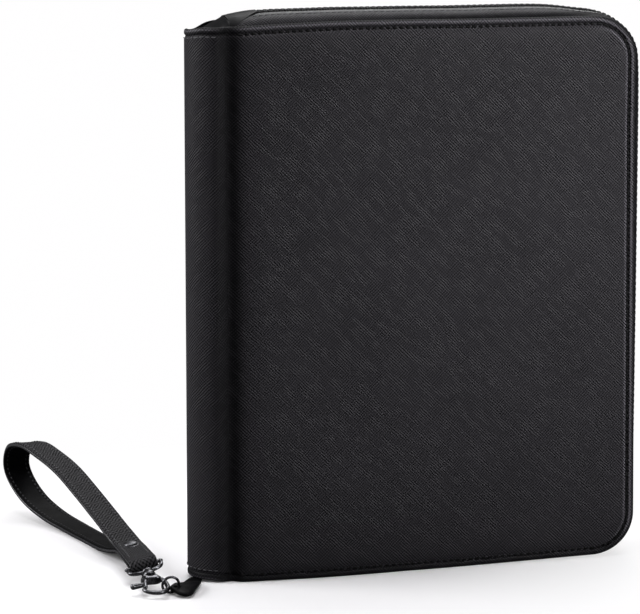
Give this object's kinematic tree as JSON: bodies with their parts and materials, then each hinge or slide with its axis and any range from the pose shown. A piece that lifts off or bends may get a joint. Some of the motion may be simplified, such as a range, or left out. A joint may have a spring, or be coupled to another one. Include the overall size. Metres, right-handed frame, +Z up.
{
  "type": "tablet folio case",
  "caption": "Zip-around tablet folio case in embossed black leatherette, standing upright, with inner pockets and a stitched wrist strap on a swivel snap hook.",
  "frame": {"origin": "middle of the standing footprint on the floor, on the parting plane of the zip", "axes": "+X from the spine to the opening edge, +Y out of the back cover, +Z up along the spine"},
  "size_m": [0.332, 0.2123, 0.3163],
  "materials": {
    "leatherette": "cross-hatched emboss, satin black",
    "lining": "plain weave, charcoal",
    "foam": "soft padding, dark grey",
    "board": "pressed grey board",
    "tape": "woven zip tape, black",
    "coil": "moulded zip coil, black",
    "gunmetal": "polished dark gunmetal plate"
  },
  "bodies": {
    "back_cover": {"back_skin": "leatherette", "back_foam": "foam", "back_board": "board", "back_lining": "lining", "zip_tape_back": "tape", "zip_coil_back": "coil", "zip_stop_upper_back": "gunmetal", "zip_stop_lower_back": "gunmetal", "tablet_pocket_panel": "lining", "tablet_pocket_welt": "tape"},
    "spine": {"spine_skin": "leatherette", "spine_board": "board", "spine_lining": "lining", "spine_gusset_upper": "tape", "spine_gusset_lower": "tape", "pen_loop": "tape", "anchor_tab": "leatherette"},
    "front_cover": {"front_skin": "leatherette", "front_foam": "foam", "front_board": "board", "front_lining": "lining", "zip_tape_front": "tape", "zip_coil_front": "coil", "zip_stop_upper_front": "gunmetal", "zip_stop_lower_front": "gunmetal", "document_pocket": "lining", "card_pocket_rear": "lining", "card_pocket_middle": "lining", "card_pocket_front": "lining"},
    "slider": {"zip_slider": "gunmetal"},
    "pull": {"zip_pull": "gunmetal"},
    "ring": {"anchor_ring": "gunmetal"},
    "hook": {"hook_claw": "gunmetal", "gate_pin": "gunmetal"},
    "gate": {"hook_gate": "gunmetal"},
    "swivel": {"swivel_eye": "gunmetal"},
    "wrist_strap": {"strap_outer": "leatherette", "strap_inner": "leatherette", "strap_rivet": "gunmetal"}
  },
  "joints": [
    {"name": "spine_fold", "type": "hinge", "parent": "back_cover", "child": "spine", "pos_m": [-0.1056, 0.0179, 0.155], "axis": [0, 0, -1], "range_deg": [0, 90]},
    {"name": "front_cover_fold", "type": "hinge", "parent": "spine", "child": "front_cover", "pos_m": [-0.1056, -0.0179, 0.155], "axis": [0, 0, -1], "range_deg": [0, 90]},
    {"name": "zip_slide", "type": "slide", "parent": "back_cover", "child": "slider", "axis": [1, 0, 0], "range_m": [0, 0.165]},
    {"name": "zip_pull_swing", "type": "hinge", "parent": "slider", "child": "pull", "pos_m": [-0.076, 0, 0.0043], "axis": [0, 1, 0], "range_deg": [0, 90]},
    {"name": "ring_turn", "type": "hinge", "parent": "spine", "child": "ring", "pos_m": [-0.13912, -0.03142, 0.003], "axis": [0, 0, 1], "range_deg": [0, 20]},
    {"name": "hook_lift", "type": "hinge", "parent": "ring", "child": "hook", "pos_m": [-0.14475, -0.03178, 0.00501], "axis": [1, 0.0087, 0], "range_deg": [0, 18]},
    {"name": "gate_open", "type": "hinge", "parent": "hook", "child": "gate", "pos_m": [-0.15582, -0.02368, 0.00631], "axis": [0.0014, -0.1564, 0.9877], "range_deg": [0, 18], "stiffness_Nm_per_rad": 0.01, "springref_deg": -20.05},
    {"name": "swivel_turn", "type": "hinge", "parent": "hook", "child": "swivel", "pos_m": [-0.152, -0.0035, 0.0095], "axis": [-0.0086, 0.9877, 0.1564], "continuous": true},
    {"name": "strap_swing", "type": "hinge", "parent": "swivel", "child": "wrist_strap", "pos_m": [-0.152, -0.0035, 0.0095], "axis": [0.9706, -0.0294, 0.2389], "range_deg": [0, 25]}
  ],
  "couplings": [
    {"joint": "front_cover_fold", "follows": "spine_fold", "ratio": 1}
  ]
}
